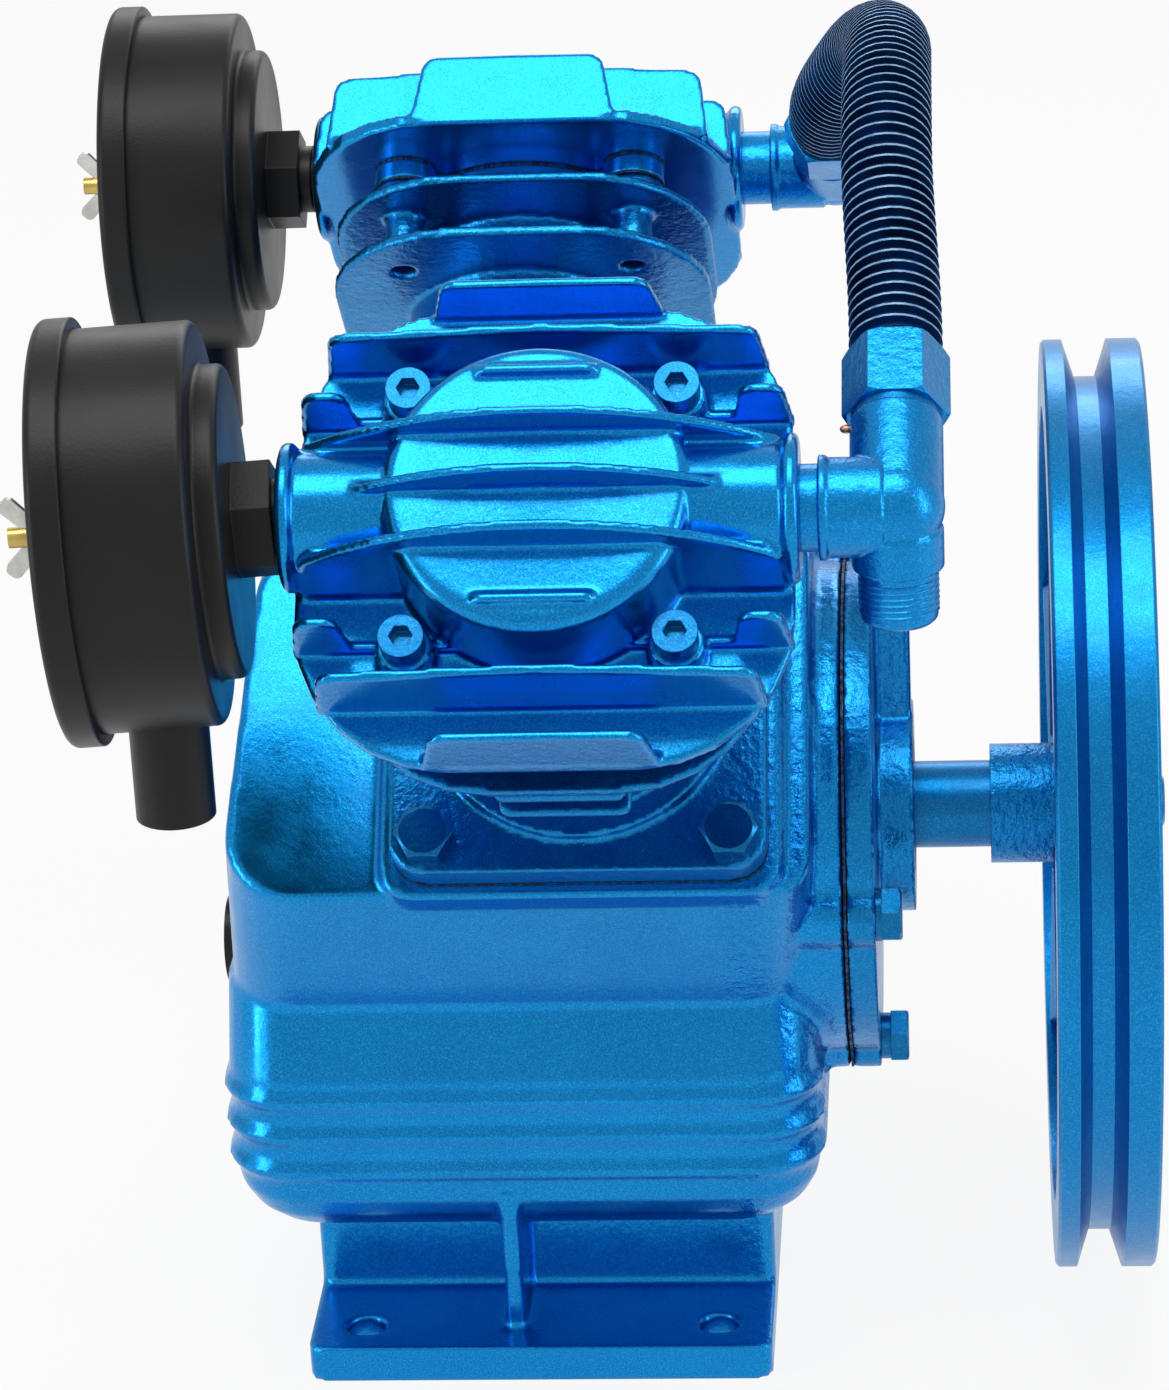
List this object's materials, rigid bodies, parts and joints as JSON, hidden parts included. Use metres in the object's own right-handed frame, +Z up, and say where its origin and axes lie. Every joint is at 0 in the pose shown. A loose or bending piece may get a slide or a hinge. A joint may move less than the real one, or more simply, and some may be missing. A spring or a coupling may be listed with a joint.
{
  "type": "air compressor pump head",
  "caption": "Belt-driven two-cylinder V compressor pump head with finned heads, drum air filters, a finned discharge tube and a grooved belt wheel.",
  "frame": {"origin": "middle of the four foot holes, on the plane that the feet stand on", "axes": "+X along the crankshaft towards the belt wheel, +Y from the front cylinder to the rear one, +Z up"},
  "size_m": [0.3683, 0.4579, 0.4243],
  "materials": {
    "cast_blue": "metallic blue enamel over rough castings",
    "head_blue": "metallic blue enamel, gloss, over a finer casting",
    "wheel_blue": "metallic blue enamel over turned faces and cast arms",
    "shaft_blue": "oversprayed blue on turned steel, bare inside",
    "bolt_blue": "oversprayed blue on zinc-plated fasteners",
    "fitting_blue": "oversprayed blue on rough fittings",
    "tube_navy": "dark blue paint on a finned aluminium tube",
    "dark_fitting": "dark blue",
    "filter_black": "satin charcoal powder coat",
    "gasket": "matt dark fibre",
    "seal_rubber": "black rubber",
    "sight_glass": "clear",
    "bearing_steel": "ground",
    "plain_steel": "plain",
    "ring_iron": "ground grey iron",
    "piston_alloy": "turned",
    "rod_alloy": "cast, satin",
    "copper_ring": "copper colour",
    "brass": "plain",
    "filter_paper": "pleated paper",
    "wing_white": "bright zinc plate"
  },
  "bodies": {
    "block": {"crankcase": "cast_blue", "sight_glass": "sight_glass", "sight_glass_ring": "dark_fitting", "oil_breather": "dark_fitting", "cover_gasket": "gasket", "end_cover": "cast_blue", "cover_bolts": "bolt_blue", "oil_plug": "bolt_blue", "oil_seal": "seal_rubber", "bearing_outer_rings": "bearing_steel", "bearing_balls": "bearing_steel", "base_gaskets": "gasket", "front_cylinder": "cast_blue", "rear_cylinder": "cast_blue", "flange_bolts": "bolt_blue", "head_gaskets": "gasket", "front_valve_plate": "cast_blue", "rear_valve_plate": "cast_blue", "valve_reeds": "plain_steel", "front_head": "head_blue", "rear_head": "head_blue", "head_screws": "bolt_blue", "discharge_nipples": "fitting_blue", "discharge_tee": "fitting_blue", "discharge_elbow": "fitting_blue", "tube_nuts": "fitting_blue", "tube_ferrules": "copper_ring", "finned_tube": "tube_navy", "front_filter_can": "filter_black", "rear_filter_can": "filter_black", "front_filter_lid": "filter_black", "rear_filter_lid": "filter_black", "filter_elements": "filter_paper", "filter_studs": "brass"},
    "crank": {"crankshaft": "shaft_blue", "shaft_key": "plain_steel", "bearing_inner_rings": "bearing_steel", "belt_wheel": "wheel_blue", "wheel_washer": "bolt_blue", "wheel_bolt": "bolt_blue"},
    "gallery": {"gallery_plug": "brass"},
    "front_piston_set": {"front_piston": "piston_alloy", "front_rings": "ring_iron", "front_pin_stubs": "plain_steel"},
    "rear_piston_set": {"rear_piston": "piston_alloy", "rear_rings": "ring_iron", "rear_pin_stubs": "plain_steel"},
    "front_rod_set": {"front_rod": "rod_alloy", "front_rod_cap": "rod_alloy", "front_rod_bolts": "plain_steel"},
    "rear_rod_set": {"rear_rod": "rod_alloy", "rear_rod_cap": "rod_alloy", "rear_rod_bolts": "plain_steel"},
    "front_wing": {"front_wing_nut": "wing_white"},
    "rear_wing": {"rear_wing_nut": "wing_white"}
  },
  "joints": [
    {"name": "crank_spin", "type": "hinge", "parent": "block", "child": "crank", "pos_m": [0, 0, 0.16], "axis": [1, 0, 0], "continuous": true},
    {"name": "gallery_turn", "type": "hinge", "parent": "crank", "child": "gallery", "pos_m": [0, 0, 0.1695], "axis": [1, 0, 0], "continuous": true},
    {"name": "front_piston_carry", "type": "hinge", "parent": "gallery", "child": "front_piston_set", "pos_m": [0.0215, -0.0095, 0.1695], "axis": [1, 0, 0], "continuous": true},
    {"name": "rear_piston_carry", "type": "hinge", "parent": "gallery", "child": "rear_piston_set", "pos_m": [-0.0065, 0.0095, 0.1695], "axis": [1, 0, 0], "continuous": true},
    {"name": "front_rod_turn", "type": "hinge", "parent": "crank", "child": "front_rod_set", "pos_m": [0.0215, 0, 0.179], "axis": [1, 0, 0], "continuous": true},
    {"name": "rear_rod_turn", "type": "hinge", "parent": "crank", "child": "rear_rod_set", "pos_m": [-0.0065, 0, 0.179], "axis": [1, 0, 0], "continuous": true},
    {"name": "front_wing_turn", "type": "hinge", "parent": "block", "child": "front_wing", "pos_m": [-0.11655, -0.17008, 0.3244], "axis": [0.9974, 0.061, 0.0384], "continuous": true},
    {"name": "rear_wing_turn", "type": "hinge", "parent": "block", "child": "rear_wing", "pos_m": [-0.14869, 0.1656, 0.32659], "axis": [0.9998, 0.0175, 0], "continuous": true}
  ],
  "couplings": [
    {"joint": "gallery_turn", "follows": "crank_spin", "ratio": -2},
    {"joint": "front_piston_carry", "follows": "crank_spin", "ratio": 1},
    {"joint": "rear_piston_carry", "follows": "crank_spin", "ratio": 1},
    {"joint": "front_rod_turn", "follows": "crank_spin", "ratio": -1},
    {"joint": "rear_rod_turn", "follows": "crank_spin", "ratio": -1}
  ]
}
